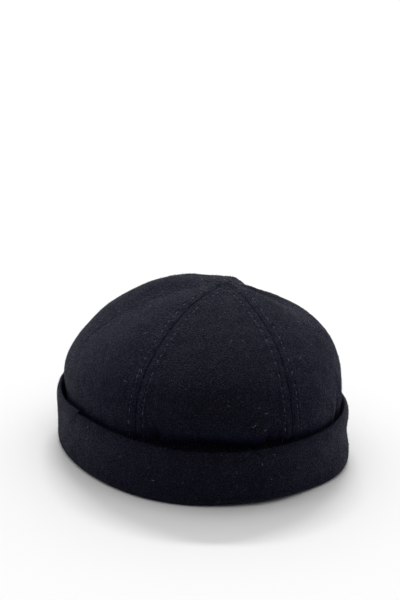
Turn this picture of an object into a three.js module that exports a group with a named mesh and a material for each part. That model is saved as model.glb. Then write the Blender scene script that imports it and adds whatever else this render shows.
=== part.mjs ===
// A docker beanie: a brimless cap of felted wool. Six gores make the low round crown, and one strip, folded double
// and turned up round the outside, makes the cuff. Millimetres, +Z up, the front toward -Y. The cap rests on the
// cuff's bottom fold, and the origin is on that plane, under the middle of the cap.
import * as THREE from 'three';

// The cloth and the head that it fits
const headGirth = 580;
const crownWall = 2.0; // one layer of melton
const cuffWall = 3.4; // the strip is folded double, so two layers of 1.7
const seamGap = 0.3; // between pieces that are sewn edge to edge
const cuffEase = 0.9; // air between the crown and the turned-up cuff, at its waist
const ovalShare = 0.087; // a head is longer from front to back

// The crown: an upright wall, then a dome whose height follows a sine and whose radius a power of the cosine
const crownTop = 110.5;
const domeBase = 39;
const crownEdge = 10; // where the gores are sewn to the cuff's inner lip
const wallTuck = 0.9; // the wall draws in toward that edge
const radiusPower = 1.11;
const leanReach = 14.4; // the soft top sits off centre
const leanAzimuth = -6.9;
const leanPower = 2.6; // and the dome below follows it less and less
const puffHeight = 2.2; // a gore swells between its seams
const puffPower = 2.2;
const seamSink = 1.0;
const swellStart = 20; // the swelling starts inside the cuff, and is full above it
const swellEnd = 66;
const lumpHeight = 1.7; // the seam allowances bunch up where six seams cross
const lumpReach = 12;

// The cuff
const cuffHeight = 38.2;
const foldRise = 5; // the rounding of the bottom fold outside, and inside
const foldWidth = 3.6;
const lipFoldRise = 3;
const lipFoldWidth = 1.9;
const valleyHeight = 4.8; // the bottom of the slot between the cuff and the crown
const valleyDip = 1.2;
const joinAzimuth = 175.5; // where the two ends of the strip meet
const joinStep = 1.8; // one end stands higher there
const joinFade = 26; // and comes down along this length
const cuffFlare = 0.6; // the rim and the bottom stand out past the waist

// How finely the cloth is divided
const goreColumns = 12;
const wallRows = 3;
const domeRows = 16;
const crowdRows = 1.4; // above 1, rows crowd toward the top
const cuffColumns = 72;
const foldSteps = 4;
const rimSteps = 4;

const wool = 0x1c1e2b;

// The gores, by the azimuths of the two seams of each. The cap's right is -X.
const gores = [
  { name: 'gore_front_right', from: 208, to: 273 },
  { name: 'gore_right', from: 150, to: 208 },
  { name: 'gore_back_right', from: 90, to: 150 },
  { name: 'gore_back_left', from: 30, to: 90 },
  { name: 'gore_left', from: -30, to: 30 },
  { name: 'gore_front_left', from: 273, to: 330 },
];

// Soft folds. Each is a hollow (depth above 0) or a swell (depth below 0), by its middle and its half sizes. A band
// fold presses the cuff and the crown's wall behind it alike.
const bandFolds = [
  { azimuth: 327, height: 21, halfWidth: 52, halfHeight: 15, depth: 1.5 },
  { azimuth: 262, height: 23, halfWidth: 34, halfHeight: 12, depth: 0.7 },
];
const crownFolds = [
  { azimuth: 150, height: 82, halfWidth: 80, halfHeight: 42, depth: 3.1 },
  { azimuth: 330, height: 74, halfWidth: 70, halfHeight: 36, depth: -4.7 },
  { azimuth: 322, height: 105, halfWidth: 40, halfHeight: 24, depth: 4 },
  { azimuth: 5, height: 103, halfWidth: 50, halfHeight: 24, depth: 6 },
  { azimuth: 112, height: 100, halfWidth: 60, halfHeight: 34, depth: -3.2 },
  { azimuth: 30, height: 70, halfWidth: 70, halfHeight: 40, depth: -1.4 },
  { azimuth: 295, height: 45, halfWidth: 9, halfHeight: 15, depth: 1.7 },
  { azimuth: 302, height: 56, halfWidth: 9, halfHeight: 18, depth: -1.2 },
  { azimuth: 263, height: 43, halfWidth: 13, halfHeight: 11, depth: 1.6 },
  { azimuth: 219, height: 43, halfWidth: 11, halfHeight: 9, depth: 1.2 },
  { azimuth: 241, height: 41, halfWidth: 26, halfHeight: 9, depth: 1.4 },
];
const cuffFolds = [
  { azimuth: 170, height: 31, halfWidth: 10, halfHeight: 9, depth: -0.6 },
  { azimuth: 328, height: 28, halfWidth: 45, halfHeight: 10, depth: -1.6 },
  { azimuth: 302, height: 9, halfWidth: 38, halfHeight: 18, depth: -1.6 },
];

// Where the cuff's rim, and its bottom fold, stand higher (lift above 0) or lower than the rest
const rimWaves = [{ azimuth: 335, halfWidth: 70, lift: -1.4 }];
const hemWaves = [{ azimuth: 259, halfWidth: 48, lift: 2 }];

const turn = 2 * Math.PI;
const radians = THREE.MathUtils.degToRad;
const quarter = Math.PI / 2;
const { smoothstep } = THREE.MathUtils;

const crownRadius = headGirth / turn + crownWall;
const cuffRadius = crownRadius + cuffEase + cuffWall;
const lipOuter = cuffWall + cuffEase;
const lipInner = lipOuter + crownWall;
const lipTop = crownEdge - seamGap;

// The plan of the cuff's outer face: an oval, longer along Y
const planRadius = (azimuth) => cuffRadius * (1 - ovalShare * Math.cos(2 * azimuth));

// The signed way from one azimuth to another, from -180 to 180 degrees
function azimuthFrom(start, end) {
  return THREE.MathUtils.euclideanModulo(end - start + Math.PI, turn) - Math.PI;
}

// A rounded bump, 1 in its middle and 0 from a reach of 1 on
const bump = (reach) => (Math.abs(reach) < 1 ? (1 + Math.cos(Math.PI * reach)) / 2 : 0);

// The way along the cloth to an azimuth from the middle of a fold or wave, as a share of its half width
const across = ({ azimuth, halfWidth }, place) => (azimuthFrom(radians(azimuth), place) * crownRadius) / halfWidth;

// How deep the folds of a table press in at a place on the cloth
function foldDepth(folds, azimuth, height) {
  let depth = 0;
  for (const fold of folds) {
    depth += fold.depth * bump(Math.hypot(across(fold, azimuth), (height - fold.height) / fold.halfHeight));
  }
  return depth;
}

// How far the waves of a table lift an edge
function waveLift(waves, azimuth) {
  return waves.reduce((lift, wave) => lift + wave.lift * bump(across(wave, azimuth)), 0);
}

// The rows of the crown from its lower edge to the last one before the apex
function crownRows() {
  const rows = [];
  for (let i = 0; i < wallRows; i += 1) {
    const share = i / wallRows;
    const tuck = wallTuck * (1 - share) ** 2;
    rows.push({ radiusShare: 1, rise: 0, tuck, base: crownEdge + (domeBase - crownEdge) * share, normal: [1, 0] });
  }
  for (let i = 0; i < domeRows; i += 1) {
    const angle = quarter * (1 - (1 - i / domeRows) ** crowdRows);
    const slope = new THREE.Vector2((crownTop - domeBase) * Math.cos(angle), crownRadius * Math.sin(angle));
    rows.push({
      radiusShare: Math.cos(angle) ** radiusPower,
      rise: Math.sin(angle),
      tuck: 0,
      base: domeBase,
      normal: slope.normalize().toArray(),
    });
  }
  return rows;
}

const apexRow = { radiusShare: 0, rise: 1, tuck: 0, base: domeBase, normal: [0, 1] };

// How far the cloth stands out from the plain dome. The side goes from 0 in the middle of a gore to 1 at its seams.
function clothRelief(row, side, azimuth, radius, height) {
  const swell = smoothstep(height, swellStart, swellEnd) * Math.sqrt(row.radiusShare);
  const puff = puffHeight * (1 - side ** puffPower) - seamSink;
  const lump = lumpHeight * (1 - smoothstep(radius, 0, lumpReach));
  return swell * puff + lump - foldDepth(bandFolds, azimuth, height) - foldDepth(crownFolds, azimuth, height);
}

// A point of a gore, on its outer face (inset 0) or its inner one (inset crownWall). The gore is a wedge whose tip
// stands a little off the axis, so that its two seam faces run half a seam gap inside the seams.
function crownPoint(row, wedge, offCentre, inset) {
  const azimuth = wedge.centre + offCentre;
  const ring = planRadius(azimuth) - lipOuter;
  const plainHeight = row.base + (crownTop - domeBase) * row.rise;
  const relief = clothRelief(row, Math.abs(offCentre / wedge.half), azimuth, ring * row.radiusShare, plainHeight);
  const radius = (ring - inset) * row.radiusShare - row.tuck + relief * row.normal[0];
  const reach = row === apexRow ? 0 : radius - wedge.tip * Math.cos(offCentre);
  const lean = leanReach * row.rise ** leanPower;
  return new THREE.Vector3(
    reach * Math.cos(azimuth) + wedge.tip * Math.cos(wedge.centre) + lean * Math.cos(radians(leanAzimuth)),
    reach * Math.sin(azimuth) + wedge.tip * Math.sin(wedge.centre) + lean * Math.sin(radians(leanAzimuth)),
    plainHeight - inset * row.rise + relief * row.normal[1],
  );
}

// A closed indexed geometry from points and triangles
function closedGeometry(points, triangles) {
  const geometry = new THREE.BufferGeometry().setFromPoints(points);
  geometry.setIndex(triangles);
  geometry.computeVertexNormals();
  return geometry;
}

// One gore: an outer and an inner grid of the same rows, joined along both seams and the lower edge, and closed by
// a fan to the tip
function goreGeometry(from, to) {
  const half = radians(to - from) / 2;
  const wedge = { centre: radians(from + to) / 2, half, tip: seamGap / 2 / Math.sin(half) };
  const rows = crownRows();
  const points = [];
  for (const inset of [0, crownWall]) {
    for (const row of rows) {
      for (let i = 0; i <= goreColumns; i += 1) {
        const share = (2 * i) / goreColumns - 1;
        const crowded = Math.sin(quarter * share);
        points.push(crownPoint(row, wedge, (half * (share + crowded)) / 2, inset));
      }
    }
    points.push(crownPoint(apexRow, wedge, 0, inset));
  }
  const width = goreColumns + 1;
  const inside = rows.length * width + 1;
  const tip = inside - 1;
  const at = (row, column) => row * width + column;
  const triangles = [];
  const quad = (a, b, c, d) => triangles.push(a, b, c, a, c, d);
  const last = rows.length - 1;
  for (let i = 0; i < goreColumns; i += 1) {
    for (let j = 0; j < last; j += 1) {
      const [a, b, c, d] = [at(j, i), at(j, i + 1), at(j + 1, i + 1), at(j + 1, i)];
      quad(a, b, c, d);
      quad(inside + d, inside + c, inside + b, inside + a);
    }
    triangles.push(at(last, i), at(last, i + 1), tip);
    triangles.push(inside + at(last, i + 1), inside + at(last, i), inside + tip);
    quad(inside + at(0, i), inside + at(0, i + 1), at(0, i + 1), at(0, i));
  }
  for (let j = 0; j <= last; j += 1) {
    const above = (column) => (j === last ? tip : at(j + 1, column));
    quad(at(j, 0), above(0), inside + above(0), inside + at(j, 0));
    quad(at(j, goreColumns), inside + at(j, goreColumns), inside + above(goreColumns), above(goreColumns));
  }
  return closedGeometry(points, triangles);
}

// The height of the cuff's rim at an azimuth, which lies this angle along the strip from the join
function rimHeight(azimuth, along) {
  const raised = joinStep * (1 - smoothstep(along * cuffRadius, 0, joinFade));
  return cuffHeight + raised + waveLift(rimWaves, azimuth);
}

// Points of a quarter or half ellipse from one angle to another, about a middle
function arc(middle, reach, from, to, steps) {
  const points = [];
  for (let i = 0; i <= steps; i += 1) {
    const angle = from + ((to - from) * i) / steps;
    points.push(new THREE.Vector2(middle[0] + reach[0] * Math.cos(angle), middle[1] + reach[1] * Math.sin(angle)));
  }
  return points;
}

// The section of the cuff, as offsets in from its outer face and heights: up the outer face, over the rim, down into
// the slot, over the inner lip and back round the bottom fold
function cuffSection(height) {
  const rimRadius = cuffWall / 2;
  const shoulder = height - rimRadius;
  const faceAt = (offset, shares) =>
    shares.map((share) => new THREE.Vector2(offset, foldRise + (shoulder - foldRise) * share));
  return [
    ...arc([foldWidth, foldRise], [foldWidth, foldRise], 3 * quarter, 2 * quarter, foldSteps),
    ...faceAt(0, [0.25, 0.5, 0.75]),
    ...arc([rimRadius, shoulder], [rimRadius, rimRadius], 2 * quarter, 0, rimSteps),
    ...faceAt(cuffWall, [0.66, 0.33]),
    ...arc([cuffWall + cuffEase / 2, valleyHeight], [cuffEase / 2, valleyDip], 2 * quarter, 4 * quarter, 2),
    new THREE.Vector2(lipOuter, lipTop),
    new THREE.Vector2(lipInner, lipTop),
    ...arc([lipInner - lipFoldWidth, lipFoldRise], [lipFoldWidth, lipFoldRise], 4 * quarter, 3 * quarter, 2),
  ];
}

// The cuff: its section carried once round the plan, with both ends closed
function cuffGeometry() {
  const points = [];
  let section = [];
  for (let i = 0; i <= cuffColumns; i += 1) {
    const halfGap = seamGap / 2 / cuffRadius;
    const along = THREE.MathUtils.lerp(halfGap, turn - halfGap, i / cuffColumns);
    const azimuth = radians(joinAzimuth) - along;
    section = cuffSection(rimHeight(azimuth, along));
    for (const { x: offset, y: height } of section) {
      const flare = offset < cuffWall ? cuffFlare * (1 - Math.sin(Math.PI * Math.min(1, height / cuffHeight))) : 0;
      const sink = foldDepth(bandFolds, azimuth, height) + foldDepth(cuffFolds, azimuth, height);
      const radius = planRadius(azimuth) - offset + flare - sink;
      const lift = waveLift(hemWaves, azimuth) * (1 - smoothstep(height, 0, lipTop));
      points.push(new THREE.Vector3(radius * Math.cos(azimuth), radius * Math.sin(azimuth), height + lift));
    }
  }
  const count = section.length;
  const triangles = [];
  for (let i = 0; i < cuffColumns; i += 1) {
    for (let j = 0; j < count; j += 1) {
      const [a, b] = [i * count + j, i * count + ((j + 1) % count)];
      triangles.push(a, b + count, a + count, a, b, b + count);
    }
  }
  const end = cuffColumns * count;
  for (const [a, b, c] of THREE.ShapeUtils.triangulateShape(section, [])) {
    triangles.push(a, b, c);
    triangles.push(end + a, end + c, end + b);
  }
  return closedGeometry(points, triangles);
}

function clothMesh(name, geometry) {
  const mesh = new THREE.Mesh(geometry, new THREE.MeshStandardMaterial({ color: wool, roughness: 0.95, metalness: 0 }));
  mesh.name = name;
  return mesh;
}

const cap = new THREE.Group();
for (const { name, from, to } of gores) cap.add(clothMesh(name, goreGeometry(from, to)));
cap.add(clothMesh('turned_cuff', cuffGeometry()));

// The middle of the cap comes over the origin
const bounds = new THREE.Box3().setFromObject(cap);
cap.position.set(-(bounds.min.x + bounds.max.x) / 2, -(bounds.min.y + bounds.max.y) / 2, -bounds.min.z);

export default cap;
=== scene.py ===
import math

import bpy
import numpy as np
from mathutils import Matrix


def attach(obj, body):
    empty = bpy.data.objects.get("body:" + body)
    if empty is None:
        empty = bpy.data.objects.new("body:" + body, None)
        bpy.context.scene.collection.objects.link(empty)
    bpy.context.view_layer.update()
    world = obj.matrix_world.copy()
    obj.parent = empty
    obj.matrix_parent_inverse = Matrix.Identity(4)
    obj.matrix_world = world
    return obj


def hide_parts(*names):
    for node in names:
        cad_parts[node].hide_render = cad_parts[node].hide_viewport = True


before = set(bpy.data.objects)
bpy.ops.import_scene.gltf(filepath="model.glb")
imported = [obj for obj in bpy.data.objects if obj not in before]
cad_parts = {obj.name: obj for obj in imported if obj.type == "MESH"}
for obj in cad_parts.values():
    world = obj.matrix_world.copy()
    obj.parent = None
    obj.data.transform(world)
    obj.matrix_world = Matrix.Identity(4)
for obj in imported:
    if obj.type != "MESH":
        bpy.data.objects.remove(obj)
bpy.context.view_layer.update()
mm = 0.001
print("frame loaded:", ", ".join(sorted(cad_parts)))

# The cap's main shape in millimetres and degrees, the same as in the part's source
cap = {
    "headGirth": 580,
    "crownWall": 2.0,  # one layer of melton
    "cuffWall": 3.4,  # the strip is folded double
    "cuffEase": 0.9,
    "ovalShare": 0.087,
    "crownTop": 110.5,
    "domeBase": 39,
    "crownEdge": 10,
    "wallTuck": 0.9,
    "radiusPower": 1.11,
    "leanReach": 14.4,
    "leanAzimuth": -6.9,
    "leanPower": 2.6,
    "puffHeight": 2.2,
    "puffPower": 2.2,
    "seamSink": 1.0,
    "swellStart": 20,
    "swellEnd": 66,
    "lumpHeight": 1.7,
    "lumpReach": 12,
}
crownRadius = cap["headGirth"] / (2 * math.pi) + cap["crownWall"]
cuffRadius = crownRadius + cap["cuffEase"] + cap["cuffWall"]
lipOuter = cap["cuffWall"] + cap["cuffEase"]
domeRise = cap["crownTop"] - cap["domeBase"]

# Soft folds: azimuth, height, half width, half height, depth. A band fold presses crown and cuff alike.
bandFolds = [(327, 21, 52, 15, 1.5), (262, 23, 34, 12, 0.7), (248, 0, 62, 24, 2.4), (277, 0, 34, 24, 3.0)]
crownFolds = [
    (150, 82, 80, 42, 3.1), (330, 74, 70, 36, -4.7), (322, 105, 40, 24, 4), (5, 103, 50, 24, 6),
    (112, 100, 60, 34, -3.2), (30, 70, 70, 40, -1.4), (293, 43, 4, 13, -0.8), (298.5, 42, 4, 16, 2.4),
    (304, 52, 5.5, 20, -1.0), (263, 43, 13, 11, 1.6), (219, 43, 11, 9, 1.2), (241, 41, 26, 9, 1.4),
]

# Whole numbers that turn a grid corner's place and the seed into a value that looks random
hashing = {
    "place": (73856093, 19349663, 83492791),
    "seed": 2654435,
    "stir": [(13, 1274126177), (16, 2246822519)],  # shift and factor
    "mask": 0xFFFFFFFF,
    "shades": 0xFFFF,
}


def smoothStep(value, low, high):
    share = np.clip((value - low) / (high - low), 0, 1)
    return share * share * (3 - 2 * share)


def bump(reach):  # 1 in the middle, 0 from a reach of 1 on
    return (1 + np.cos(np.pi * np.clip(np.abs(reach), 0, 1))) / 2


def plateau(value, rises, falls):  # 0, then 1 between the two slopes, then 0 again
    return smoothStep(value, *rises) * (1 - smoothStep(value, *falls))


def roundedMax(a, b):  # the larger of the two, with a smooth change where they are alike
    return (a**4 + b**4) ** 0.25


def across(azimuth, middle, halfWidth):  # from a fold's middle along the cloth, as a share of its half width
    turned = np.mod(azimuth - math.radians(middle) + np.pi, 2 * np.pi) - np.pi
    return turned * crownRadius / halfWidth


def foldDepth(folds, azimuth, height):
    depth = 0
    for middle, level, halfWidth, halfHeight, deep in folds:
        reach = np.hypot(across(azimuth, middle, halfWidth), (height - level) / halfHeight)
        depth = depth + deep * bump(reach)
    return depth


def planRadius(azimuth):  # the oval plan of the cuff's outer face
    return cuffRadius * (1 - cap["ovalShare"] * np.cos(2 * azimuth))


def unevenness(points, cell, seed):  # smooth value noise from -1 to 1, with features of this size in mm
    grid = points / cell
    low = np.floor(grid).astype(np.int64)
    part = grid - low
    part = part * part * (3 - 2 * part)
    total = 0
    for corner in np.ndindex(2, 2, 2):
        spot = low + np.array(corner)
        key = (spot * np.array(hashing["place"])).sum(axis=-1) + seed * hashing["seed"]
        for shift, factor in hashing["stir"]:
            key = (key ^ (key >> shift)) * factor & hashing["mask"]
        value = 2 * (key >> 8 & hashing["shades"]) / hashing["shades"] - 1
        total = total + value * np.prod(np.where(corner, part, 1 - part), axis=-1)
    return total


def unevenLayers(points, layers):  # layers of noise: rise in mm, feature size in mm, seed
    return sum(rise * unevenness(points, cell, seed) for rise, cell, seed in layers)


def unit(vectors):
    return vectors / np.linalg.norm(vectors, axis=-1, keepdims=True)


def gridFaces(rows, columns, start=0, flip=False):
    index = start + np.arange(rows * columns).reshape(rows, columns)
    quads = np.stack([index[:-1, :-1], index[:-1, 1:], index[1:, 1:], index[1:, :-1]], -1).reshape(-1, 4)
    return (quads[:, ::-1] if flip else quads).tolist()


def makePiece(name, points, faces, material, stand=()):
    mesh = bpy.data.meshes.new(name)
    mesh.from_pydata((np.asarray(points) * mm).tolist(), [], faces)
    mesh.validate()
    mesh.polygons.foreach_set("use_smooth", [True] * len(mesh.polygons))
    mesh.materials.append(material)
    piece = bpy.data.objects.new(name, mesh)
    bpy.context.scene.collection.objects.link(piece)
    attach(piece, "root")
    if stand:
        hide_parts(*stand)


# Camera: it stands where the photograph's outline, rim line and seams were matched from
camera = {
    "azimuth": -33.44,  # degrees from the cap's front toward its left side
    "elevation": 17.84,
    "distance": 900,  # mm from the point that it looks at
    "lookAt": (0, 0, 100.2),
    "lens": 82.58,
}


def towards(azimuth, elevation):  # the way from the cap to a camera or lamp
    turned, raised = math.radians(azimuth), math.radians(elevation)
    level = math.cos(raised)
    return np.array([level * math.sin(turned), -level * math.cos(turned), math.sin(raised)])


def faceCap(made, azimuth, elevation):
    made.rotation_euler = (math.pi / 2 - math.radians(elevation), 0, math.radians(azimuth))


def placeCamera():
    data = bpy.data.cameras.new("photographCamera")
    data.lens = camera["lens"]
    made = bpy.data.objects.new("photographCamera", data)
    bpy.context.scene.collection.objects.link(made)
    back = towards(camera["azimuth"], camera["elevation"])
    made.location = (np.array(camera["lookAt"]) + back * camera["distance"]) * mm
    faceCap(made, camera["azimuth"], camera["elevation"])
    bpy.context.scene.camera = made


placeCamera()
print("camera placed")


# Materials
def linear(hexColour):
    parts = [int(hexColour[i : i + 2], 16) / 255 for i in (1, 3, 5)]
    return [c / 12.92 if c <= 0.04045 else ((c + 0.055) / 1.055) ** 2.4 for c in parts] + [1]


def addNode(tree, kind, settings=None, sockets=None):
    made = tree.nodes.new("ShaderNode" + kind)
    for name, value in (settings or {}).items():
        setattr(made, name, value)
    for name, value in (sockets or {}).items():
        if isinstance(value, bpy.types.NodeSocket):
            tree.links.new(value, made.inputs[name])
        else:
            made.inputs[name].default_value = value
    return made


def newMaterial(name):
    material = bpy.data.materials.new(name)
    material.use_nodes = True
    material.node_tree.nodes.clear()
    return material, material.node_tree


# Wool melton: carded woollen cloth, fulled and cropped until its weave is gone. The eye sees a dull, nearly
# black navy ground of matted fibres, flecked with paler dyed ones, and a short nap that lights up at edges.
melton = {
    "ground": "#030304",
    "fibre": "#0b0b0d",
    "fleck": "#2f303c",
    "clump": 0.8,  # mm; wool fibres are 0.02 mm, drawn as coarse as the tufts that the picture can show
    "clumpRange": (0.32, 0.68),  # of the noise, from ground to fibre
    "fleckSize": 0.95,  # mm
    "fleckRange": (0.62, 0.74),  # only the noise's peaks turn into flecks
    "fleckTwist": 1.6,
    "fleckRise": 0.5,  # in the relief, beside the clumps
    "cloud": 9,  # mm, for the slow drift of tone and gloss over the cloth
    "cloudRange": (0.3, 0.7),
    "cloudTone": (0.8, 1.2),
    "cloudGloss": 0.22,
    "glossRange": (0.47, 0.75),
    "roughness": (1.0, 0.55),  # in the hollows, and on the tufts
    "ior": 1.55,  # wool
    "specular": 0.175,  # the nap scatters the fibres' gloss far and wide
    "specularTint": "#bcc2ff",
    "sheen": 0.065,
    "sheenRoughness": 0.28,
    "sheenTint": "#7488ff",
    "napDepth": 2.4,  # mm
    "cuffPaintedLift": 1.05,  # painted light: the folded strip's copy of the same cloth is painted a shade paler than the crown's
}


# Each copy of the cloth takes a painted lightness that scales its colour: painted light, not a different dye
def meltonWool(name, paintedLift):
    material, tree = newMaterial(name)
    place = addNode(tree, "TexCoord").outputs["Object"]
    clump = addNode(tree, "TexNoise", {}, {
        "Vector": place, "Scale": 1 / (melton["clump"] * mm), "Detail": 1.0, "Roughness": 0.5,
    }).outputs[0]
    fleck = addNode(tree, "TexNoise", {}, {
        "Vector": place,
        "Scale": 1 / (melton["fleckSize"] * mm),
        "Detail": 2.0,
        "Roughness": 0.6,
        "Distortion": melton["fleckTwist"],
    }).outputs[0]
    cloud = addNode(tree, "TexNoise", {}, {
        "Vector": place, "Scale": 1 / (melton["cloud"] * mm), "Detail": 2.0,
    }).outputs[0]
    matted = addNode(tree, "MapRange", {}, {
        "Value": clump, "From Min": melton["clumpRange"][0], "From Max": melton["clumpRange"][1],
    }).outputs[0]
    sparse = addNode(tree, "MapRange", {}, {
        "Value": fleck, "From Min": melton["fleckRange"][0], "From Max": melton["fleckRange"][1],
    }).outputs[0]
    # the slow drift of tone, scaled by this copy's painted lightness, which makes the cuff's copy paler
    drift = addNode(tree, "MapRange", {}, {
        "Value": cloud,
        "From Min": melton["cloudRange"][0],
        "From Max": melton["cloudRange"][1],
        "To Min": melton["cloudTone"][0] * paintedLift,
        "To Max": melton["cloudTone"][1] * paintedLift,
    }).outputs[0]
    base = addNode(tree, "Mix", {"data_type": "RGBA"}, {
        0: matted, 6: linear(melton["ground"]), 7: linear(melton["fibre"]),
    }).outputs[2]
    flecked = addNode(tree, "Mix", {"data_type": "RGBA"}, {
        0: sparse, 6: base, 7: linear(melton["fleck"]),
    }).outputs[2]
    colour = addNode(tree, "VectorMath", {"operation": "SCALE"}, {0: flecked, "Scale": drift}).outputs[0]
    raised = addNode(tree, "Math", {"operation": "MULTIPLY_ADD"}, {
        0: fleck, 1: melton["fleckRise"], 2: clump,
    }).outputs[0]
    brushed = addNode(tree, "Math", {"operation": "MULTIPLY_ADD"}, {
        0: cloud, 1: melton["cloudGloss"], 2: clump,
    }).outputs[0]
    gloss = addNode(tree, "MapRange", {}, {
        "Value": brushed,
        "From Min": melton["glossRange"][0],
        "From Max": melton["glossRange"][1],
        "To Min": melton["roughness"][0],
        "To Max": melton["roughness"][1],
    }).outputs[0]
    relief = addNode(tree, "Bump", {}, {
        "Strength": 1.0, "Distance": melton["napDepth"] * mm, "Height": raised,
    })
    cloth = addNode(tree, "BsdfPrincipled", {}, {
        "Base Color": colour,
        "Roughness": gloss,
        "IOR": melton["ior"],
        "Specular IOR Level": melton["specular"],
        "Specular Tint": linear(melton["specularTint"]),
        "Sheen Weight": melton["sheen"],
        "Sheen Roughness": melton["sheenRoughness"],
        "Sheen Tint": linear(melton["sheenTint"]),
        "Normal": relief.outputs[0],
    })
    addNode(tree, "OutputMaterial", {}, {"Surface": cloth.outputs[0]})
    return material


# Polyester sewing thread: spun staple, three plies twisted and dyed to the cloth. It is a little paler and
# smoother than the wool, so that the rows read as faint blue dashes.
thread = {
    "colour": "#2e3555",
    "roughness": 0.5,
    "ior": 1.58,
    "sheen": 0.2,
    "plyPitch": 0.5,  # mm
    "plyTone": (0.7, 1.3),
    "plyRelief": 0.06,  # mm
}


def sewingThread():
    material, tree = newMaterial("spun polyester thread")
    place = addNode(tree, "TexCoord").outputs["Object"]
    ply = addNode(tree, "TexNoise", {}, {
        "Vector": place, "Scale": 1 / (thread["plyPitch"] * mm), "Detail": 1.0,
    }).outputs[0]
    lit = addNode(tree, "MapRange", {}, {
        "Value": ply, "To Min": thread["plyTone"][0], "To Max": thread["plyTone"][1],
    }).outputs[0]
    colour = addNode(tree, "VectorMath", {"operation": "SCALE"}, {
        0: linear(thread["colour"])[:3], "Scale": lit,
    })
    relief = addNode(tree, "Bump", {}, {
        "Strength": 0.8, "Distance": thread["plyRelief"] * mm, "Height": ply,
    })
    shader = addNode(tree, "BsdfPrincipled", {}, {
        "Base Color": colour.outputs[0],
        "Roughness": thread["roughness"],
        "IOR": thread["ior"],
        "Sheen Weight": thread["sheen"],
        "Normal": relief.outputs[0],
    })
    addNode(tree, "OutputMaterial", {}, {"Surface": shader.outputs[0]})
    return material


# Loose wool fibres: dyed keratin with a scaly skin. The eye sees single ones that catch the light which the
# matted cloth swallows.
fibre = {
    "dark": "#0d0e13",
    "pale": "#4a4e60",
    "lint": "#a5a29e",
    "dyePatch": 0.8,  # mm from fibres of one dye to the next
    "napMix": (0.54, 0.68),  # of the noise, so that only a few ends are pale
    "lintMix": (0.35, 0.6),
    "roughness": 0.6,
    "ior": 1.55,
}


def looseFibre(name, low, high, mix):
    material, tree = newMaterial(name)
    place = addNode(tree, "TexCoord").outputs["Object"]
    dye = addNode(tree, "TexNoise", {}, {
        "Vector": place, "Scale": 1 / (fibre["dyePatch"] * mm), "Detail": 1.0,
    }).outputs[0]
    share = addNode(tree, "MapRange", {}, {
        "Value": dye, "From Min": mix[0], "From Max": mix[1],
    }).outputs[0]
    colour = addNode(tree, "Mix", {"data_type": "RGBA"}, {
        0: share, 6: linear(low), 7: linear(high),
    }).outputs[2]
    shader = addNode(tree, "BsdfPrincipled", {}, {
        "Base Color": colour,
        "Roughness": fibre["roughness"],
        "IOR": fibre["ior"],
        "Specular IOR Level": melton["specular"],
    })
    addNode(tree, "OutputMaterial", {}, {"Surface": shader.outputs[0]})
    return material


napMaterial = looseFibre("navy wool fibre", fibre["dark"], fibre["pale"], fibre["napMix"])
lintMaterial = looseFibre("pale lint", fibre["pale"], fibre["lint"], fibre["lintMix"])
crownMelton = meltonWool("navy wool melton crown", 1.0)
# the cuff's copy of the same cloth is painted a shade paler: painted light
cuffMelton = meltonWool("navy wool melton cuff", melton["cuffPaintedLift"])
threadMaterial = sewingThread()
print("materials made")

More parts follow.
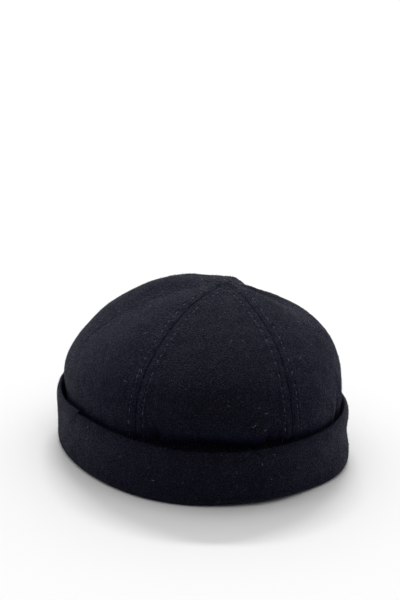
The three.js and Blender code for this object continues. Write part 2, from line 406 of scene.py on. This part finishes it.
# The crown: six gores sewn edge to edge. Their seam allowances are pressed open inside, and a row of
# topstitching holds each one down from outside. Lengths are in mm and azimuths in degrees.
crown = {
    "gores": [
        ("gore_front_right", 208, 273), ("gore_right", 150, 208), ("gore_back_right", 90, 150),
        ("gore_back_left", 30, 90), ("gore_left", -30, 30), ("gore_front_left", 273, 330),
    ],
    "grooveWidth": 0.55,  # each gore rolls into the seam over this width
    "grooveDepth": 2.0,
    "grooveAtTop": 0.3,  # the share of the depth that is left at the top, where the seams are pressed flat
    "grooveFade": (10, 38),  # the way from the top over which it grows to the full depth
    "seamGap": 0.01,  # half the gap between the two faces of a seam
    "flatBand": 6.5,  # the pressed allowances keep the cloth flat this far from the seam
    "flatLimit": 0.6,  # and no further than this share of the gore's half
    "allowance": 6.95,  # the turned-in edge, with its thickness
    "allowanceWall": 1.7,
    "allowanceRise": 0.3,  # how far it lifts the cloth over it
    "allowanceSlopes": ((0.4, 4.2), (6.0, 9.0)),  # where the lift starts and ends, from the seam
    "innerRoll": 0.9,  # the inner face rounds into the seam by this much
    "stitchLine": 5.0,  # the topstitching, from the seam
    "stitchSink": 0.4,
    "stitchDent": 0.55,  # half the width that it pulls down
    "stitchHold": (0.65, 0.35),  # the even part of the pull, and the part that comes with each stitch
    "puckerHeight": 0.16,
    "puckerPitch": 8.4,
    "puckerSlopes": ((0.4, 2.5), (5.5, 9)),
    "puckerWander": [(1.4, 17, 3), (0.8, 7.3, 5)],  # reach in radians, length, change with the azimuth
    "uneven": [(0.35, 26, 1), (0.16, 9, 2), (0.07, 3.2, 3)],  # rise, feature size, seed
    "lastShare": 0.0008,  # the last ring's share of the full radius
    "rimTuck": 1.6,  # the cuff's rim grips the crown a little
    "rimTuckAt": (34, 17),  # height and half height
    "pointedEnd": (0.3, 2.5),  # the depth under the face fades out where a gore's half is this narrow
    "apexShift": (-0.3, -5.8),  # the seams meet this far from the middle of the leaning top
    "apexReach": 0.45,
    "topCalm": (0.05, 0.36),  # shares of the radius between which the folds fade towards the middle
    "topDip": 0.6,
    "topForms": [  # x, y, reach, rise
        (6, 41, 20, 1.7), (45, 16, 16, -1.6), (-22, 60, 22, -1.0), (16, 35, 9, -1.5),
        (32, 24, 10, 0.6), (51, -6, 24, -1.3), (30, -8, 15, -1.0),
    ],
    "dents": [  # the front sags in over the rim, with small creases where it is sewn down
        (231, 44, 60, 22, 4.5), (243, 36, 72, 11, 5.6), (219, 42, 4, 10, 1.9), (224, 42, 4, 9, -1.0),
        (257.5, 42, 3.5, 9, -0.9), (261.5, 43, 3, 12, 2.0), (265, 42, 2.5, 9, 1.2), (268.5, 43, 3, 10, -1.0),
    ],
    "seamShare": {150: 0.2, 330: 0.2},  # seams pulled flatter than the rest, as shares of their relief
    "valleyShare": {150: 0.65, 330: 0.65},
    "seamDrift": {208: (1.6, 0), 273: (-3.0, 0), 150: (0, -5), 330: (0, 5)},  # at the foot and half way up
    "driftFoot": (42, 100),  # the heights between which the foot's drift fades out
    "driftMiddle": (78, 40),  # height and half height of the other
    "nearColumns": [  # the ways from the seam at which a gore has columns of points
        0, 0.04, 0.13, 0.28, 0.55, 0.85, 1.3, 2.2, 3.4, 4.3,
        4.7, 5.0, 5.3, 5.8, 6.5, 6.85, 7.05, 7.8, 9.0,
    ],
    "nearLimit": 0.8,  # they keep within this share of the gore's half
    "farColumns": 26,
    "rowPitch": 1.05,
    "wallSteps": 30,  # of the outline's table
    "domeSteps": 900,
}
nearEnd = crown["nearColumns"][-1]
goreHalf = 50.0  # the nominal place of a gore's middle

# Topstitching, in mm: each stitch is a tube that dips into the cloth at both ends
stitch = {
    "pitch": 4.1,
    "length": 2.9,
    "lengthSpread": 0.1,  # as a share
    "endGap": 9,  # from the crown's lower edge and from its top
    "jitter": 0.12,
    "radius": 0.22,
    "lift": 0.1,
    "sunk": 0.12,  # in the seams that are pulled flat
    "sinkSpread": 0.07,
    "sway": 0.16,
    "slant": 1.6,  # how far a stitch runs askew, as a share of the sway
    "aside": 0.3,  # where the cloth's slope is read, on each side of the stitch
    "shares": [0, 0.12, 0.3, 0.5, 0.7, 0.88, 1],  # the tube's rings along it
    "arch": [  # their heights
        -0.3, -0.02, 0.09, 0.12, 0.09, -0.02, -0.3,
    ],
    "girths": [0.5, 0.85, 1, 1, 1, 0.85, 0.5],
    "sides": 6,
    "outerSeat": 0.2,  # how far the stitches lie over the bottom of their dent
    "seed": 3,
}


def meridian():  # the crown's plain outline by length along it, from the lower edge up
    wall = np.linspace(0, 1, crown["wallSteps"])[:-1]
    topAngle = np.arccos(crown["lastShare"] ** (1 / cap["radiusPower"]))
    angle = np.linspace(0, topAngle, crown["domeSteps"])
    share = np.concatenate([np.ones_like(wall), np.cos(angle) ** cap["radiusPower"]])
    rise = np.concatenate([np.zeros_like(wall), np.sin(angle)])
    wallHeight = cap["crownEdge"] + (cap["domeBase"] - cap["crownEdge"]) * wall
    base = np.concatenate([wallHeight, cap["domeBase"] + 0 * angle])
    tuck = np.concatenate([cap["wallTuck"] * (1 - wall) ** 2, 0 * angle])
    slope = np.hypot(domeRise * np.cos(angle), crownRadius * np.sin(angle))
    outward = np.concatenate([np.ones_like(wall), domeRise * np.cos(angle) / slope])
    upward = np.concatenate([np.zeros_like(wall), crownRadius * np.sin(angle) / slope])
    steps = np.hypot(np.diff(share * crownRadius), np.diff(base + domeRise * rise))
    length = np.concatenate([[0], np.cumsum(steps)])
    table = {"share": share, "rise": rise, "base": base, "tuck": tuck, "outward": outward, "upward": upward}
    return length, table


meridianLength, meridianTable = meridian()


def outerSink(fromSeam, along, azimuth):  # how far a gore's face lies under its plain form near a seam
    roll = np.clip(1 - fromSeam / crown["grooveWidth"], 0, 1)
    opened = smoothStep(meridianLength[-1] - along, *crown["grooveFade"])
    depth = crown["grooveDepth"] * (crown["grooveAtTop"] + (1 - crown["grooveAtTop"]) * opened)
    sink = depth * (1 - np.sqrt(1 - roll * roll))
    sink = sink - crown["allowanceRise"] * plateau(fromSeam, *crown["allowanceSlopes"])
    line = np.exp(-(((fromSeam - crown["stitchLine"]) / crown["stitchDent"]) ** 2))
    even, varied = crown["stitchHold"]
    held = even + varied * np.cos(2 * np.pi * along / stitch["pitch"])
    sink = sink + crown["stitchSink"] * line * held
    wander = 0
    for reach, length, change in crown["puckerWander"]:
        wander = wander + reach * np.sin(along / length + change * azimuth)
    pucker = np.sin(2 * np.pi * along / crown["puckerPitch"] + wander)
    sink = sink + crown["puckerHeight"] * plateau(fromSeam, *crown["puckerSlopes"]) * pucker
    return sink * crown["seamShare"].get(round(math.degrees(azimuth)) % 360, 1)


def innerDepth(fromSeam):  # how deep the inside lies, with the allowance against it
    roll = np.clip(1 - fromSeam / crown["innerRoll"], 0, 1)
    turned = crown["allowanceWall"] * (fromSeam < crown["allowance"])
    return cap["crownWall"] + turned - crown["innerRoll"] * (1 - np.sqrt(1 - roll * roll))


def seamAzimuth(seam, height):
    foot, middle = crown["seamDrift"].get(seam % 360, (0, 0))
    level, halfHeight = crown["driftMiddle"]
    drift = foot * (1 - smoothStep(height, *crown["driftFoot"]))
    drift = drift + middle * bump((height - level) / halfHeight)
    return np.radians(seam + drift)


def gorePoints(gore, along, fromSeam, hand, depth):
    # Points of a gore by their length along the crown, their nominal way from the seam on one hand (-1 or 1)
    # and their depth under the outer face. Where a gore narrows toward the top, the ways crowd together.
    start, end = gore[1:]
    row = {key: np.interp(along, meridianLength, value) for key, value in meridianTable.items()}
    share = row["share"]
    plain = row["base"] + domeRise * row["rise"]
    first, last = seamAzimuth(start, plain), seamAzimuth(end, plain)
    half, centre = (last - first) / 2, (last + first) / 2
    width = half * (planRadius(centre + hand * half) - lipOuter) * share
    near = np.minimum(fromSeam, nearEnd)
    near = near / roundedMax(1, near / (crown["nearLimit"] * width))
    far = np.clip((fromSeam - nearEnd) / (goreHalf - nearEnd), 0, 1)
    gap = near + (width - near) * far
    azimuth = centre + hand * half * (1 - gap / width)
    flat = np.minimum(crown["flatBand"], crown["flatLimit"] * width)
    side = np.clip(1 - roundedMax(gap, flat) / width, 0, 1)
    plan = (planRadius(azimuth) - lipOuter) * share
    spot = np.stack([plan * np.cos(azimuth), plan * np.sin(azimuth), plain + 0 * azimuth], -1)
    swell = smoothStep(plain, cap["swellStart"], cap["swellEnd"]) * np.sqrt(share)
    valley = crown["valleyShare"].get((start if hand < 0 else end) % 360, 1)
    relief = swell * (cap["puffHeight"] * (1 - valley * side ** cap["puffPower"]) - cap["seamSink"])
    relief = relief + cap["lumpHeight"] * (1 - smoothStep(plan, 0, cap["lumpReach"]))
    apart = smoothStep(share, *crown["topCalm"])
    folds = foldDepth(crownFolds, azimuth, plain) * apart + crown["topDip"] * (1 - apart)
    for left, back, reach, rise in crown["topForms"]:
        folds = folds - rise * bump(np.hypot(spot[..., 0] - left, spot[..., 1] - back) / reach)
    relief = relief - foldDepth(bandFolds + crown["dents"], azimuth, plain) - folds
    level, halfHeight = crown["rimTuckAt"]
    relief = relief - crown["rimTuck"] * bump((plain - level) / halfHeight)
    relief = relief + unevenLayers(spot, crown["uneven"])
    depth = depth * smoothStep(width, *crown["pointedEnd"])
    radius = plan - row["tuck"] + relief * row["outward"] - depth * share
    apartBy = crown["seamGap"] / np.sin(half)
    reach = radius - apartBy * np.cos(azimuth - centre)
    lean = cap["leanReach"] * row["rise"] ** cap["leanPower"]
    leanTo = math.radians(cap["leanAzimuth"])
    shift = 1 - smoothStep(share, 0, crown["apexReach"])
    shiftX, shiftY = crown["apexShift"]
    return np.stack([
        reach * np.cos(azimuth) + apartBy * np.cos(centre) + lean * math.cos(leanTo) + shift * shiftX,
        reach * np.sin(azimuth) + apartBy * np.sin(centre) + lean * math.sin(leanTo) + shift * shiftY,
        plain + relief * row["upward"] - depth * row["rise"] + 0 * azimuth,
    ], -1)


def goreLayer(gore, along, inside):  # one face of a gore, from its first seam to its second
    farWays = np.linspace(nearEnd, goreHalf, crown["farColumns"] + 1)[1:]
    ways = np.array(crown["nearColumns"] + farWays.tolist())
    halves = []
    for hand, order in ((-1, ways), (1, ways[-2::-1])):
        fromSeam, length = np.meshgrid(order, along)
        azimuth = math.radians(gore[1] if hand < 0 else gore[2])
        depth = innerDepth(fromSeam) if inside else outerSink(fromSeam, length, azimuth)
        halves.append(gorePoints(gore, length, fromSeam, hand, depth))
    return np.concatenate(halves, axis=1)


def buildGore(gore):
    along = np.linspace(0, meridianLength[-1], round(meridianLength[-1] / crown["rowPitch"]))
    outer, inner = goreLayer(gore, along, False), goreLayer(gore, along, True)
    rows, columns = outer.shape[:2]
    count = rows * columns
    points = np.concatenate([outer.reshape(-1, 3), inner.reshape(-1, 3)])
    faces = gridFaces(rows, columns) + gridFaces(rows, columns, count, True)
    for j in range(rows - 1):  # the seam faces
        first, last = j * columns, j * columns + columns - 1
        faces.append([first, first + columns, count + first + columns, count + first])
        faces.append([last, count + last, count + last + columns, last + columns])
    top = (rows - 1) * columns
    for i in range(columns - 1):  # the lower edge and the top
        faces.append([count + i, count + i + 1, i + 1, i])
        faces.append([top + i, top + i + 1, count + top + i + 1, count + top + i])
    makePiece(gore[0] + "_cloth", points, faces, crownMelton, [gore[0]])
    return outer


goreFaces = [buildGore(gore) for gore in crown["gores"]]
print("gores made")


# A row of lockstitches on each side of every seam, and their bobbin side inside
def stitchRow(gore, hand, depth, outward, dice):
    first = np.arange(stitch["endGap"], meridianLength[-1] - stitch["endGap"], stitch["pitch"])
    first = first + dice.normal(0, stitch["jitter"], len(first))
    uneven = dice.normal(0, 1, (3, len(first), 1))
    shares = np.array(stitch["shares"])
    lifts = np.array(stitch["arch"]) + stitch["lift"]
    girths = np.array(stitch["girths"]) * stitch["radius"]
    longer = stitch["length"] * (1 + stitch["lengthSpread"] * uneven[0])
    along = (first[:, None] + (stitch["pitch"] - longer) / 2 + shares * longer).ravel()[:, None]
    slant = stitch["sway"] * (uneven[1] + stitch["slant"] * (shares - 0.5)).ravel()[:, None]
    ways = crown["stitchLine"] + slant + np.array([[-stitch["aside"], 0, stitch["aside"]]])
    length, fromSeam = np.broadcast_arrays(along, ways)
    seam = (gore[1] if hand < 0 else gore[2]) % 360
    sunk = stitch["sunk"] if seam in crown["seamShare"] else 0
    spots = gorePoints(gore, length, fromSeam, hand, depth + sunk * outward)
    middle = spots[:, 1].reshape(len(first), len(shares), 3)
    sideways = unit((spots[:, 2] - spots[:, 0]).reshape(middle.shape))
    ahead = unit(np.gradient(middle, axis=1))
    up = unit(np.cross(ahead, sideways) * hand * outward)
    core = middle + up * (lifts - stitch["sinkSpread"] * np.abs(uneven[2]))[..., None]
    turns = np.linspace(0, 2 * np.pi, stitch["sides"], endpoint=False)
    ring = np.cos(turns)[:, None] * sideways[:, :, None] + np.sin(turns)[:, None] * up[:, :, None]
    return core[:, :, None] + ring * girths[None, :, None, None]


def tubeFaces(tubes, rings, sides):
    faces = []
    for t in range(tubes):
        start = t * rings * sides
        for r in range(rings - 1):
            for s in range(sides):
                a, b = start + r * sides + s, start + r * sides + (s + 1) % sides
                faces.append([a, b, b + sides, a + sides])
        faces.append([start + s for s in reversed(range(sides))])
        faces.append([start + (rings - 1) * sides + s for s in range(sides)])
    return faces


def buildStitching(name, depth, outward):
    dice = np.random.default_rng(stitch["seed"])
    rows = [stitchRow(gore, hand, depth, outward, dice) for gore in crown["gores"] for hand in (-1, 1)]
    tubes = np.concatenate(rows)
    faces = tubeFaces(tubes.shape[0], tubes.shape[1], stitch["sides"])
    makePiece(name, tubes.reshape(-1, 3), faces, threadMaterial)


buildStitching("crown_topstitching", crown["stitchSink"] - stitch["outerSeat"], 1)
buildStitching("crown_bobbin_stitching", cap["crownWall"] + crown["allowanceWall"], -1)
print("stitching made")

# The cuff: one strip folded double and turned up round the outside, its ends joined in a slanting seam.
# Lengths are in mm and azimuths in degrees.
cuff = {
    "height": 38.2,
    "foldRise": 5,
    "foldWidth": 3.6,
    "lipFoldRise": 3,
    "lipFoldWidth": 1.9,
    "lipGap": 0.02,  # between the lip's top and the crown's lower edge
    "valleyHeight": 4.8,
    "valleyDip": 1.2,
    "joinAzimuth": 175.5,
    "joinSlant": 0.5,  # degrees of azimuth for each mm down from the rim
    "joinStep": 1.8,  # one end of the strip stands this much higher at the join
    "joinFade": 26,
    "joinRoll": 0.6,
    "joinDepth": 0.35,
    "joinGap": 0.0001,  # radians between the join and each end's face
    "joinShows": [(0.25, 3, 6), (0.75, 26, 33)],  # share of the roll's depth added between two heights
    "flare": 0.6,
    "rimRound": 5,
    "rimLean": (0.9, 2.0),  # the roll's top draws in toward the crown, and in front the most
    "rimLeanFront": (238, 80),  # azimuth and half width
    "rimLeanFrom": (29, 40),  # heights
    "softFrom": (0.5, 7),  # heights over which the face starts to be uneven
    "uneven": [(0.3, 31, 4), (0.12, 10, 5), (0.06, 3.5, 6)],
    "rimUneven": [(0.22, 22, 7)],
    "rimUnevenFrom": (20, 38),
    "columns": 480,
    "faceRows": 30,
    "backRows": 16,
    "arcSteps": {"fold": 12, "rim": 14, "valley": 4, "lip": 8},
    "shownRows": slice(6, 56),  # from under the bottom fold, up the face and over the rim
    "folds": [(170, 31, 10, 9, -0.6), (328, 28, 45, 10, -1.6), (302, 9, 38, 18, -1.6)],
    "rimWaves": [(335, 70, -2.2), (234, 84, -2.2)],  # azimuth, half width, lift
    "hemWaves": [(259, 48, 2)],
    "hemFade": 0.3,  # the hem's lift ends this far under the crown's lower edge
}


def arc(middle, reach, start, end, steps):  # part of an ellipse, with its start and end in quarter turns
    angle = np.linspace(start, end, steps + 1) * np.pi / 2
    return np.stack([middle[0] + reach[0] * np.cos(angle), middle[1] + reach[1] * np.sin(angle)], -1)


def cuffSection(height):  # offsets in from the outer face, and heights
    steps = cuff["arcSteps"]
    rim = cap["cuffWall"] / 2
    shoulder = height - cuff["rimRound"]
    face = np.linspace(cuff["foldRise"], shoulder, cuff["faceRows"])[1:-1]
    back = np.linspace(shoulder, cuff["valleyHeight"], cuff["backRows"])[1:-1]
    fold = (cuff["foldWidth"], cuff["foldRise"])
    valley = (cap["cuffEase"] / 2, cuff["valleyDip"])
    valleyMiddle = (cap["cuffWall"] + cap["cuffEase"] / 2, cuff["valleyHeight"])
    lipFold = (cuff["lipFoldWidth"], cuff["lipFoldRise"])
    lipInner = lipOuter + cap["crownWall"]
    lipTop = cap["crownEdge"] - cuff["lipGap"]
    lipEdge = [(lipOuter, 0), (lipOuter + 1, 0.01), (lipInner - 0.5, -0.12), (lipInner, -0.7)]
    return np.concatenate([
        arc(fold, fold, 3, 2, steps["fold"]),
        np.stack([0 * face, face], -1),
        arc((rim, shoulder), (rim, cuff["rimRound"]), 2, 0, steps["rim"]),
        np.stack([cap["cuffWall"] + 0 * back, back], -1),
        arc(valleyMiddle, valley, 2, 4, steps["valley"]),
        [(offset, lipTop + rise) for offset, rise in lipEdge],
        arc((lipInner - cuff["lipFoldWidth"], cuff["lipFoldRise"]), lipFold, 4, 3, steps["lip"]),
    ])


def waveLift(waves, azimuth):
    return sum(lift * bump(across(azimuth, middle, halfWidth)) for middle, halfWidth, lift in waves)


def cuffColumn(turned):  # the strip's section at this angle from its join
    atRim = math.radians(cuff["joinAzimuth"]) - turned
    raised = cuff["joinStep"] * (1 - smoothStep(turned * cuffRadius, 0, cuff["joinFade"]))
    section = cuffSection(cuff["height"] + raised + waveLift(cuff["rimWaves"], atRim))
    offset, height = section[:, 0], section[:, 1]
    azimuth = atRim - np.radians(cuff["joinSlant"]) * (cuff["height"] - height)
    spot = np.stack([cuffRadius * np.cos(azimuth), cuffRadius * np.sin(azimuth), height], -1)
    aboveLip = offset < lipOuter - 0.1
    bowed = 1 - np.sin(np.pi * np.minimum(1, height / cuff["height"]))
    flare = cuff["flare"] * bowed * (offset < cap["cuffWall"])
    sink = foldDepth(bandFolds + cuff["folds"], azimuth, height)
    wavy = unevenLayers(spot, cuff["uneven"]) * smoothStep(height, *cuff["softFrom"]) * aboveLip
    fromJoin = min(turned, 2 * math.pi - turned) * cuffRadius
    roll = max(0.0, 1 - fromJoin / cuff["joinRoll"])
    rolled = cuff["joinDepth"] * (1 - math.sqrt(1 - roll * roll)) * (offset < 0.5)
    rolled = rolled * sum(share * smoothStep(height, low, high) for share, low, high in cuff["joinShows"])
    plainLean, frontLean = cuff["rimLean"]
    lean = plainLean + (frontLean - plainLean) * bump(across(azimuth, *cuff["rimLeanFront"]))
    lean = lean * smoothStep(height, *cuff["rimLeanFrom"]) * aboveLip
    radius = planRadius(azimuth) - offset + flare - sink + wavy - rolled - lean
    hemLift = waveLift(cuff["hemWaves"], azimuth)
    hemLift = hemLift * (1 - smoothStep(height, 0, cap["crownEdge"] - cuff["hemFade"]))
    rimLift = unevenLayers(spot, cuff["rimUneven"]) * smoothStep(height, *cuff["rimUnevenFrom"])
    return np.stack([radius * np.cos(azimuth), radius * np.sin(azimuth), height + hemLift + rimLift], -1)


def buildCuff():
    along = np.linspace(cuff["joinGap"], 2 * math.pi - cuff["joinGap"], cuff["columns"] + 1)
    points = np.stack([cuffColumn(turned) for turned in along])
    total, count = points.shape[:2]
    index = np.arange(total * count).reshape(total, count)
    after = np.roll(index, -1, axis=1)
    sides = np.stack([index[:-1], after[:-1], after[1:], index[1:]], -1).reshape(-1, 4)[:, ::-1]
    faces = sides.tolist() + [index[0].tolist(), index[-1][::-1].tolist()]
    makePiece("turned_cuff_cloth", points.reshape(-1, 3), faces, cuffMelton, ["turned_cuff"])
    return points[:, cuff["shownRows"]]


cuffFace = buildCuff()
print("cuff made")

# The nap: fibre ends that stand up from the felted face, and a little pale lint that clings to it
nap = {
    "crownFibres": 60000,
    "cuffFibres": 24000,
    "length": (0.9, 2.1),  # mm
    "width": 0.11,  # mm; a tuft of fibres, since one is only 0.02 mm
    "lift": (0.05, 0.75),
    "liftPower": 1.6,  # most ends lie low
    "seed": 11,
}
lint = {
    "count": 130,
    "length": (1.2, 3.8),  # mm
    "width": 0.14,
    "lift": 0.1,
    "above": 0.15,  # mm over the face
    "seed": 5,
}
ribbon = {  # a fibre's form: root, middle and tip, as shares of its length
    "bend": 0.35,
    "middle": 0.5,
    "middleLift": 0.35,
    "middleWidth": 0.8,
    "tipLift": 0.8,
    "rooted": 0.05,  # mm under the face
    "overFloor": 0.05,  # mm, and a little more for each next corner
    "cornerStep": 0.01,
}


def scatter(grids, count, dice):  # places on grids of points, evenly by area, with their normals
    corners = [[g[:-1, :-1], g[:-1, 1:], g[1:, 1:], g[1:, :-1]] for g in grids]
    a, b, c, d = (np.concatenate([four[k].reshape(-1, 3) for four in corners]) for k in range(4))
    normal = np.cross(c - a, d - b)
    area = np.linalg.norm(normal, axis=1)
    chosen = dice.choice(len(area), count, p=area / area.sum())
    u, v = dice.random((2, count, 1))
    spots = (1 - v) * ((1 - u) * a[chosen] + u * b[chosen]) + v * ((1 - u) * d[chosen] + u * c[chosen])
    normals = normal[chosen] / area[chosen, None]
    return spots, normals


def growFibres(spots, normals, lengths, lifts, width, dice):  # bent ribbons that taper to a point
    count = len(spots)
    lying = unit(np.cross(normals, dice.normal(size=(count, 3))))
    bend = np.cross(normals, lying) * dice.normal(0, ribbon["bend"], (count, 1))
    side = unit(np.cross(lying + bend, normals)) * width / 2
    lengths, lifts = lengths[:, None], lifts[:, None]
    root = spots - normals * ribbon["rooted"]
    middle = spots + (lying * ribbon["middle"] + normals * lifts * ribbon["middleLift"]) * lengths
    tip = spots + (lying + bend + normals * lifts * ribbon["tipLift"]) * lengths
    narrower = side * ribbon["middleWidth"]
    points = np.stack([root - side, root + side, middle + narrower, middle - narrower, tip], 1)
    lowest = ribbon["overFloor"] + ribbon["cornerStep"] * np.arange(5)
    points[..., 2] = np.maximum(points[..., 2], lowest)  # none goes through the floor
    start = 5 * np.arange(count)[:, None]
    faces = (start + [0, 1, 2, 3]).tolist() + (start + [3, 2, 4]).tolist()
    return points.reshape(-1, 3), faces


def raiseNap(name, grids, count, seed):
    dice = np.random.default_rng(seed)
    spots, normals = scatter(grids, count, dice)
    lengths = dice.uniform(*nap["length"], count)
    lifts = dice.uniform(*nap["lift"], count) ** nap["liftPower"]
    points, faces = growFibres(spots, normals, lengths, lifts, nap["width"], dice)
    makePiece(name, points, faces, napMaterial)


def dropLint():
    dice = np.random.default_rng(lint["seed"])
    spots, normals = scatter(goreFaces + [cuffFace], lint["count"], dice)
    lengths = dice.uniform(*lint["length"], lint["count"])
    lifts = np.full(lint["count"], lint["lift"])
    points, faces = growFibres(spots + normals * lint["above"], normals, lengths, lifts, lint["width"], dice)
    makePiece("stray_lint", points, faces, lintMaterial)


raiseNap("crown_nap", goreFaces, nap["crownFibres"], nap["seed"])
raiseNap("cuff_nap", [cuffFace], nap["cuffFibres"], nap["seed"] + 1)
dropLint()
print("nap and lint made")

# Floor: a pale matt board that the cap lies on
floor = {"colour": "#f2f2f2", "reach": 30, "roughness": 0.8, "specular": 0.1}


def layFloor():
    mesh = bpy.data.meshes.new("paleFloor")
    edge = floor["reach"]
    corners = [(-edge, -edge, 0), (edge, -edge, 0), (edge, edge, 0), (-edge, edge, 0)]
    mesh.from_pydata(corners, [], [(0, 1, 2, 3)])
    material, tree = newMaterial("matt white board")
    board = addNode(tree, "BsdfPrincipled", {}, {
        "Base Color": linear(floor["colour"]),
        "Roughness": floor["roughness"],
        "Specular IOR Level": floor["specular"],
    })
    addNode(tree, "OutputMaterial", {}, {"Surface": board.outputs[0]})
    mesh.materials.append(material)
    made = bpy.data.objects.new("paleFloor", mesh)
    bpy.context.scene.collection.objects.link(made)


layFloor()

# Light: a wide low strip lamp straight behind the cap, and a pale studio that is bright above and behind it,
# as the camera sees it, and a little to the right
light = {
    "keyAzimuth": 178,  # degrees from the camera's azimuth
    "keyElevation": 50,
    "keyStrength": 1.25,  # W/m2 where the cap lies
    "keyDistance": 20.0,  # m, as the lamp's two sides are
    "keyWidth": 8.0,
    "keyHeight": 1.0,
    "above": 1.05,
    "aboveFrom": 0.25,
    "behind": 0.9,
    "right": 0.2,
}


def hangLamp():
    data = bpy.data.lights.new("backStripLamp", "AREA")
    data.shape = "RECTANGLE"
    data.size, data.size_y = light["keyWidth"], light["keyHeight"]
    data.energy = light["keyStrength"] * math.pi * light["keyDistance"] ** 2
    lamp = bpy.data.objects.new("backStripLamp", data)
    bpy.context.scene.collection.objects.link(lamp)
    azimuth = camera["azimuth"] + light["keyAzimuth"]
    lamp.location = towards(azimuth, light["keyElevation"]) * light["keyDistance"]
    faceCap(lamp, azimuth, light["keyElevation"])


def lightStudio():
    world = bpy.data.worlds.new("studio")
    world.use_nodes = True
    tree = world.node_tree
    tree.nodes.clear()
    way = addNode(tree, "TexCoord").outputs["Generated"]
    turned = math.radians(camera["azimuth"])
    ways = {
        "above": (0, 0, 1),
        "behind": (-math.sin(turned), math.cos(turned), 0),
        "right": (math.cos(turned), math.sin(turned), 0),
    }
    strength = 0.0
    for part, direction in ways.items():
        facing = addNode(tree, "VectorMath", {"operation": "DOT_PRODUCT"}, {0: way, 1: direction})
        glow = addNode(tree, "MapRange", {"interpolation_type": "SMOOTHSTEP"}, {
            "Value": facing.outputs["Value"],
            "From Min": light.get(part + "From", 0.0),
            "From Max": 1.0,
            "To Max": light[part],
        }).outputs[0]
        strength = addNode(tree, "Math", {"operation": "ADD"}, {0: glow, 1: strength}).outputs[0]
    studio = addNode(tree, "Background", {}, {"Color": (1, 1, 1, 1), "Strength": strength})
    addNode(tree, "OutputWorld", {}, {"Surface": studio.outputs[0]})
    bpy.context.scene.world = world


hangLamp()
lightStudio()
bpy.context.scene.view_settings.view_transform = "Standard"
print("floor and lights set")
